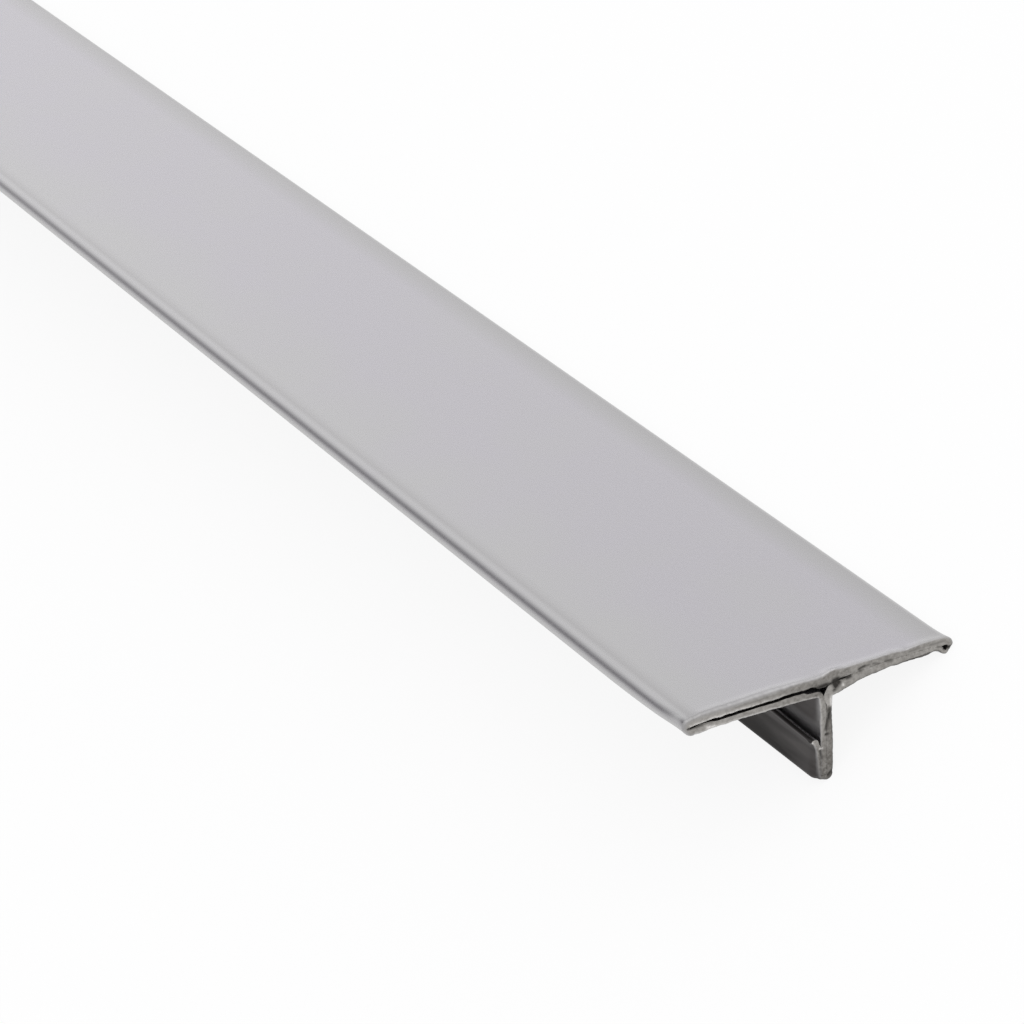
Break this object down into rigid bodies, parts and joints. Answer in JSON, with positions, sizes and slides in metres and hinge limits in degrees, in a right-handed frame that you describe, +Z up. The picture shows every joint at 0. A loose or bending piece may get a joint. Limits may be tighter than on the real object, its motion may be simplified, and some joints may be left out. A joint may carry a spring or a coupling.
{
  "type": "stainless steel t-profile",
  "caption": "Folded stainless strip profile: a flat hemmed face on a slim stem of doubled plies, for covering the joint between floor or wall coverings.",
  "frame": {"origin": "middle of the footprint, on the floor that the profile lies on", "axes": "+Y along the profile, away from the sawn end in the picture; +Z up; the face looks up and towards +X"},
  "size_m": [0.0206, 1, 0.0153],
  "materials": {
    "stainless": "fine satin rolled surface, sawn end"
  },
  "bodies": {
    "root": {"t_profile": "stainless"}
  },
  "joints": []
}
